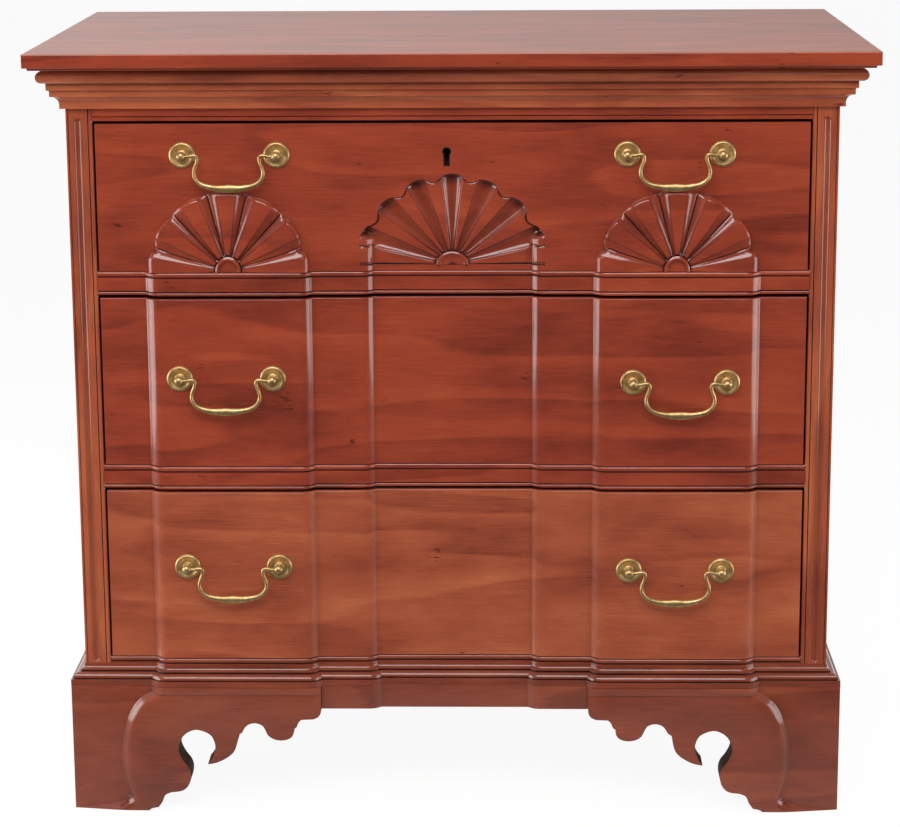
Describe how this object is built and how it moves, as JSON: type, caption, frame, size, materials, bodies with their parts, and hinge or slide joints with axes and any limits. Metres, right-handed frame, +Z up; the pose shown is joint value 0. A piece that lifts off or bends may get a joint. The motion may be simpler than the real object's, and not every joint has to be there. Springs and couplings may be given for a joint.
{
  "type": "chest of drawers",
  "caption": "Block-front chest of drawers on scroll-cut bracket feet, with carved shells, sliding drawers, swinging bail handles and a working lock bolt.",
  "frame": {"origin": "on the floor, under the middle of the top board", "axes": "+Z up, front towards -Y, +X to the right as seen from the front"},
  "size_m": [0.914, 0.524, 0.864],
  "materials": {
    "cherry": "satin varnish",
    "secondary_wood": "bare",
    "brass": "aged, polished",
    "iron": "dull"
  },
  "bodies": {
    "case": {"top_board": "cherry", "cornice_front": "cherry", "cornice_returns": "cherry", "case_side_left": "cherry", "case_side_right": "cherry", "stile_left": "cherry", "stile_right": "cherry", "top_rail": "cherry", "rear_batten": "secondary_wood", "rail_upper": "cherry", "rail_lower": "cherry", "bottom_rail": "cherry", "case_bottom": "secondary_wood", "back_boards": "secondary_wood", "drawer_runners": "secondary_wood", "drawer_guides": "secondary_wood", "base_moulding_front": "cherry", "base_moulding_returns": "cherry", "apron": "cherry", "foot_front_left": "cherry", "foot_front_right": "cherry", "foot_sides_front": "cherry", "foot_sides_rear": "cherry", "foot_rear_brackets": "secondary_wood", "foot_blocks": "secondary_wood"},
    "drawer_top": {"drawer_top_front": "cherry", "drawer_top_side_left": "secondary_wood", "drawer_top_side_right": "secondary_wood", "drawer_top_back": "secondary_wood", "drawer_top_bottom": "secondary_wood", "rosettes_top": "brass", "posts_top": "brass", "nuts_top": "brass", "shells": "cherry", "lock_case": "iron", "escutcheon": "brass"},
    "bail_top_left": {"bail_top_left": "brass"},
    "bail_top_right": {"bail_top_right": "brass"},
    "drawer_middle": {"drawer_middle_front": "cherry", "drawer_middle_side_left": "secondary_wood", "drawer_middle_side_right": "secondary_wood", "drawer_middle_back": "secondary_wood", "drawer_middle_bottom": "secondary_wood", "rosettes_middle": "brass", "posts_middle": "brass", "nuts_middle": "brass"},
    "bail_middle_left": {"bail_middle_left": "brass"},
    "bail_middle_right": {"bail_middle_right": "brass"},
    "drawer_bottom": {"drawer_bottom_front": "cherry", "drawer_bottom_side_left": "secondary_wood", "drawer_bottom_side_right": "secondary_wood", "drawer_bottom_back": "secondary_wood", "drawer_bottom_bottom": "secondary_wood", "rosettes_bottom": "brass", "posts_bottom": "brass", "nuts_bottom": "brass"},
    "bail_bottom_left": {"bail_bottom_left": "brass"},
    "bail_bottom_right": {"bail_bottom_right": "brass"},
    "lock_bolt": {"lock_bolt": "iron"}
  },
  "joints": [
    {"name": "drawer_top_slide", "type": "slide", "parent": "case", "child": "drawer_top", "axis": [0, -1, 0], "range_m": [0, 0.36]},
    {"name": "bail_top_left_swing", "type": "hinge", "parent": "drawer_top", "child": "bail_top_left", "pos_m": [-0.242, -0.227, 0.7495], "axis": [-1, 0, 0], "range_deg": [0, 165]},
    {"name": "bail_top_right_swing", "type": "hinge", "parent": "drawer_top", "child": "bail_top_right", "pos_m": [0.242, -0.227, 0.7495], "axis": [-1, 0, 0], "range_deg": [0, 165]},
    {"name": "drawer_middle_slide", "type": "slide", "parent": "case", "child": "drawer_middle", "axis": [0, -1, 0], "range_m": [0, 0.36]},
    {"name": "bail_middle_left_swing", "type": "hinge", "parent": "drawer_middle", "child": "bail_middle_left", "pos_m": [-0.25, -0.2355, 0.502], "axis": [-1, 0, 0], "range_deg": [0, 165]},
    {"name": "bail_middle_right_swing", "type": "hinge", "parent": "drawer_middle", "child": "bail_middle_right", "pos_m": [0.25, -0.2355, 0.4975], "axis": [-1, 0, 0], "range_deg": [0, 165]},
    {"name": "drawer_bottom_slide", "type": "slide", "parent": "case", "child": "drawer_bottom", "axis": [0, -1, 0], "range_m": [0, 0.36]},
    {"name": "bail_bottom_left_swing", "type": "hinge", "parent": "drawer_bottom", "child": "bail_bottom_left", "pos_m": [-0.247, -0.2355, 0.2857], "axis": [-1, 0, 0], "range_deg": [0, 165]},
    {"name": "bail_bottom_right_swing", "type": "hinge", "parent": "drawer_bottom", "child": "bail_bottom_right", "pos_m": [0.247, -0.2355, 0.2817], "axis": [-1, 0, 0], "range_deg": [0, 165]},
    {"name": "lock_bolt_throw", "type": "slide", "parent": "drawer_top", "child": "lock_bolt", "axis": [0, 0, 1], "range_m": [0, 0.008]}
  ]
}
